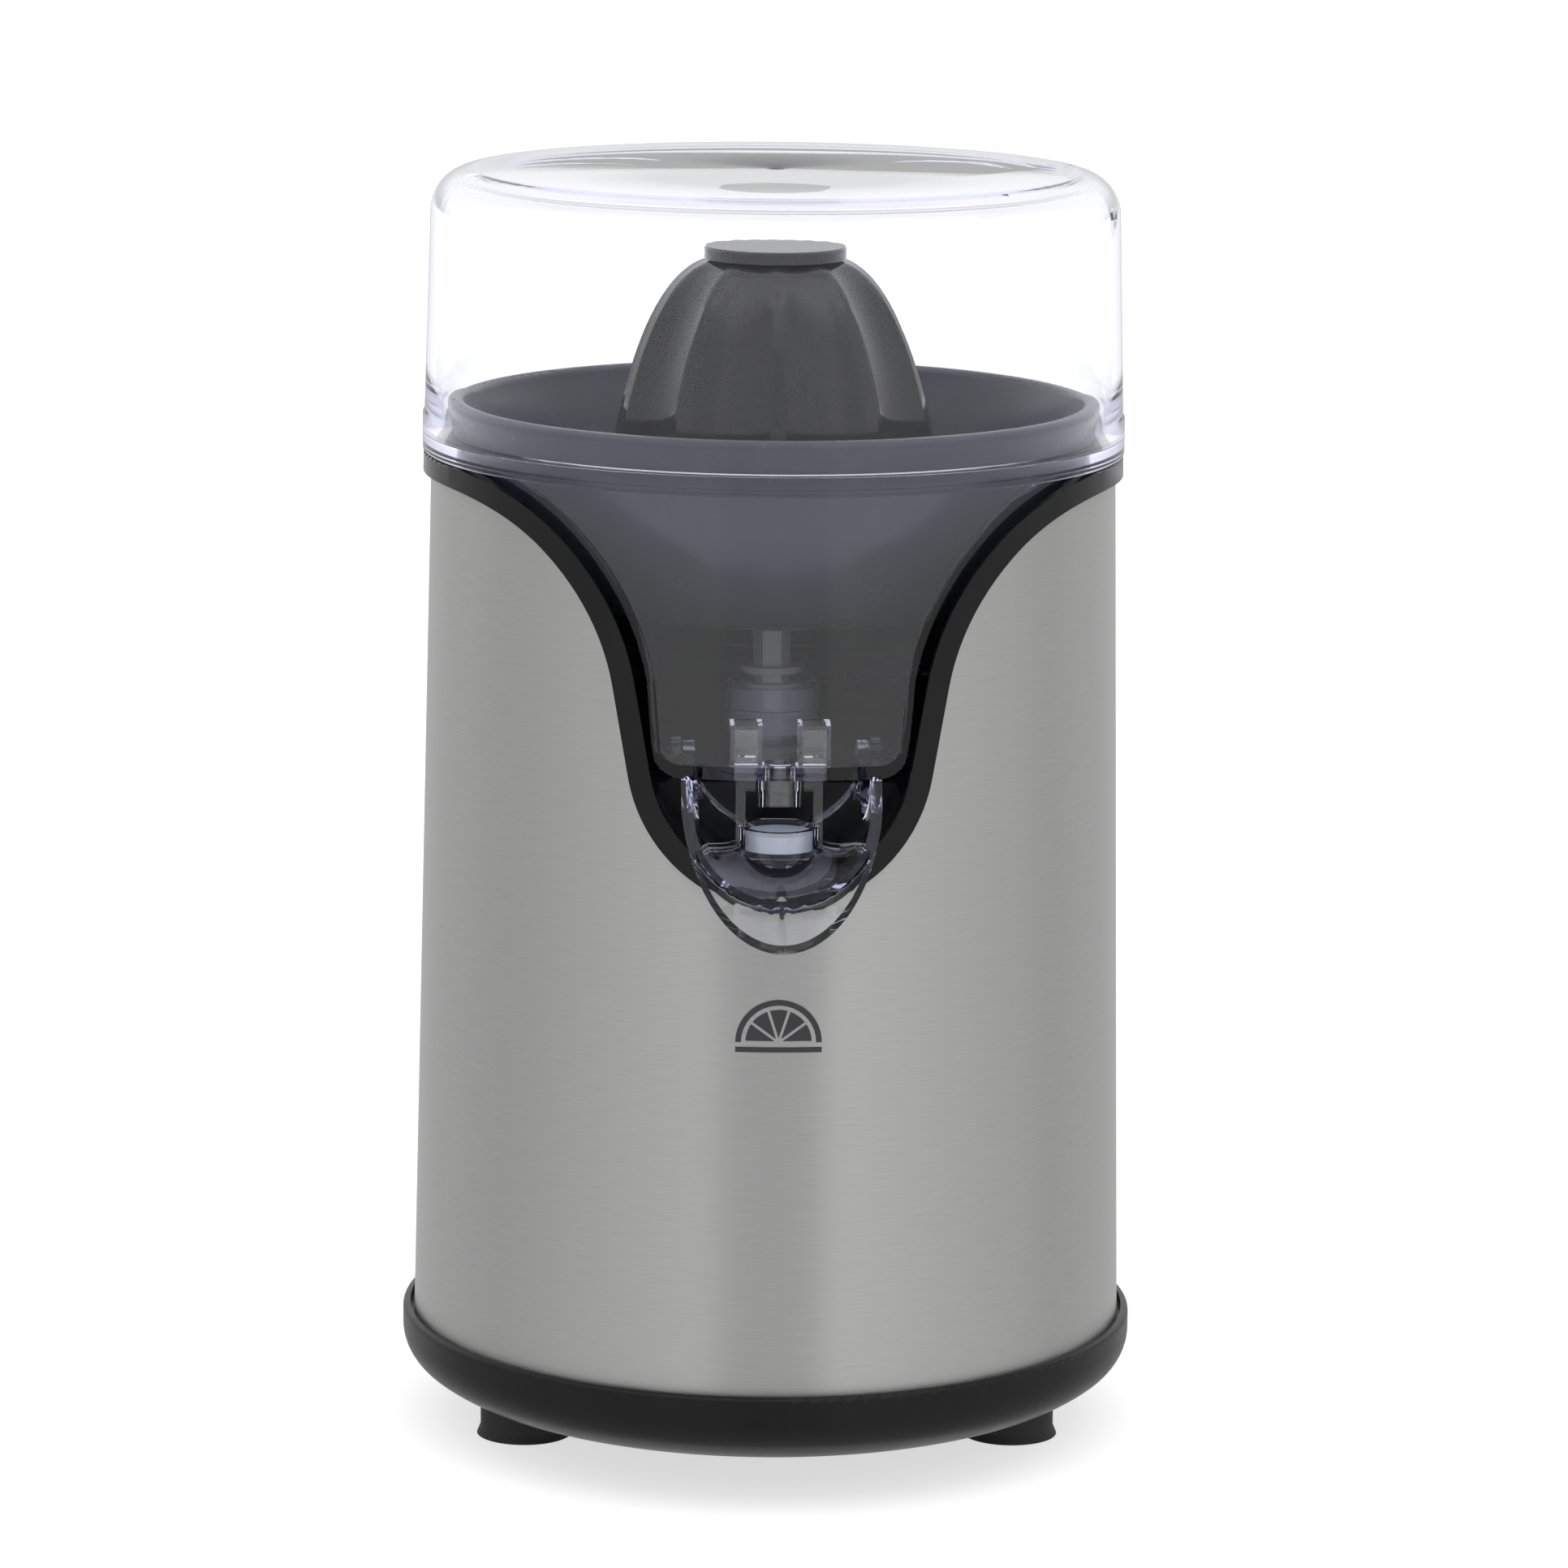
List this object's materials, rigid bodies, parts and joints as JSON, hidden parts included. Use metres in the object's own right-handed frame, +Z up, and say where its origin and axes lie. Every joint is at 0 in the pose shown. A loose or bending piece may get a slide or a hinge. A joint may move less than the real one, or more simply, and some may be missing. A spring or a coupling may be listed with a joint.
{
  "type": "electric citrus press",
  "caption": "Upright electric citrus press: tapered steel drum, clear juice collector with tilting drip-stop spout, strainer, reaming cones and clear lid.",
  "frame": {"origin": "on the table, on the plane of symmetry, midway between the tip of the spout's lip and the back of the base", "axes": "+Z up along the drum's axis, -Y to the front where the spout is, +X to the right"},
  "size_m": [0.16, 0.1802, 0.2745],
  "materials": {
    "drum_steel": "fine horizontal brushing",
    "black_plastic": "satin",
    "bezel_plastic": "polished",
    "foot_rubber": "matte",
    "clear_plastic": "clear, polished",
    "silicone": "translucent, matte",
    "strainer_plastic": "satin",
    "cone_plastic": "satin",
    "grey_plastic": "satin",
    "white_plastic": "satin",
    "gear_plastic": "natural acetal",
    "plain_steel": "zinc plated",
    "bearing_bronze": "sintered",
    "spring_steel": "drawn",
    "seal_rubber": "matte",
    "stator_iron": "laminated",
    "bobbin_plastic": "matte",
    "winding_copper": "enamelled wire",
    "magnet": "ferrite",
    "contact_brass": "bright"
  },
  "bodies": {
    "housing": {"steel_shell": "drum_steel", "front_bezel": "bezel_plastic", "upper_housing": "black_plastic", "base_ring": "black_plastic", "bottom_cover": "black_plastic", "rubber_feet": "foot_rubber", "cover_screws": "plain_steel", "cord_gland": "black_plastic", "terminal_block": "white_plastic", "terminal_screws": "contact_brass", "gearbox_tray": "grey_plastic", "gearbox_cover": "grey_plastic", "gearbox_screws": "plain_steel", "idler_axle": "plain_steel", "upper_bush": "bearing_bronze", "lower_bush": "bearing_bronze", "spindle_seal": "seal_rubber", "return_spring": "spring_steel", "stator_core": "stator_iron", "coil_bobbin_left": "bobbin_plastic", "coil_bobbin_right": "bobbin_plastic", "coil_winding_left": "winding_copper", "coil_winding_right": "winding_copper", "motor_bracket": "plain_steel", "motor_screws": "plain_steel", "rotor_upper_bush": "bearing_bronze", "rotor_lower_bush": "bearing_bronze", "switch_case": "black_plastic", "switch_screws": "plain_steel", "switch_terminals": "contact_brass"},
    "collector": {"juice_collector": "clear_plastic", "shaft_bush": "white_plastic", "shaft_seal": "silicone"},
    "spout": {"spout": "clear_plastic", "drip_plug": "silicone"},
    "strainer": {"pulp_strainer": "strainer_plastic"},
    "cover": {"lid": "clear_plastic"},
    "output_gear": {"output_gear": "gear_plastic"},
    "spindle": {"spindle": "plain_steel", "thrust_washer": "plain_steel"},
    "drive_shaft": {"drive_shaft": "white_plastic", "retaining_clip": "plain_steel"},
    "reamer": {"large_cone": "cone_plastic", "small_cone": "cone_plastic"},
    "idler": {"compound_gear": "gear_plastic"},
    "rotor": {"rotor_magnet": "magnet", "rotor_shaft": "plain_steel", "motor_pinion": "contact_brass"},
    "switch_lever": {"switch_lever": "plain_steel"},
    "switch_button": {"switch_button": "grey_plastic"}
  },
  "joints": [
    {"name": "collector_lift", "type": "slide", "parent": "housing", "child": "collector", "axis": [0, 0, 1], "range_m": [0, 0.12]},
    {"name": "strainer_lift", "type": "slide", "parent": "collector", "child": "strainer", "axis": [0, 0, 1], "range_m": [0, 0.1]},
    {"name": "cover_lift", "type": "slide", "parent": "strainer", "child": "cover", "axis": [0, 0, 1], "range_m": [0, 0.1]},
    {"name": "spout_tilt", "type": "hinge", "parent": "collector", "child": "spout", "pos_m": [0, -0.0279, 0.1529], "axis": [-1, 0, 0], "range_deg": [0, 11]},
    {"name": "output_spin", "type": "hinge", "parent": "housing", "child": "output_gear", "pos_m": [0, 0.0101, 0.127], "axis": [0, 0, 1], "continuous": true},
    {"name": "reamer_press", "type": "slide", "parent": "output_gear", "child": "spindle", "axis": [0, 0, 1], "range_m": [-0.0025, 0], "stiffness_N_per_m": 2000, "springref_m": 0.003, "deforming": ["return_spring"]},
    {"name": "drive_shaft_lift", "type": "slide", "parent": "spindle", "child": "drive_shaft", "axis": [0, 0, 1], "range_m": [0, 0.12]},
    {"name": "reamer_lift", "type": "slide", "parent": "drive_shaft", "child": "reamer", "axis": [0, 0, 1], "range_m": [0, 0.1]},
    {"name": "idler_spin", "type": "hinge", "parent": "housing", "child": "idler", "pos_m": [0, 0.0461, 0.12], "axis": [0, 0, 1], "continuous": true},
    {"name": "rotor_spin", "type": "hinge", "parent": "housing", "child": "rotor", "pos_m": [0.014, 0.02185, 0.06], "axis": [0, 0, 1], "continuous": true},
    {"name": "switch_lever_turn", "type": "hinge", "parent": "housing", "child": "switch_lever", "pos_m": [0.0235, 0.0101, 0.0936], "axis": [0, 1, 0], "range_deg": [-6.2, 0]},
    {"name": "switch_button_press", "type": "slide", "parent": "housing", "child": "switch_button", "axis": [0, 0, 1], "range_m": [-0.00095, 0]}
  ],
  "couplings": [
    {"joint": "drive_shaft_lift", "follows": "collector_lift", "ratio": 1},
    {"joint": "reamer_lift", "follows": "strainer_lift", "ratio": 1},
    {"joint": "idler_spin", "follows": "output_spin", "ratio": -5},
    {"joint": "rotor_spin", "follows": "output_spin", "ratio": 30},
    {"joint": "switch_lever_turn", "follows": "reamer_press", "rad_per_m": 42.5},
    {"joint": "switch_button_press", "follows": "reamer_press", "ratio": 0.3628}
  ]
}
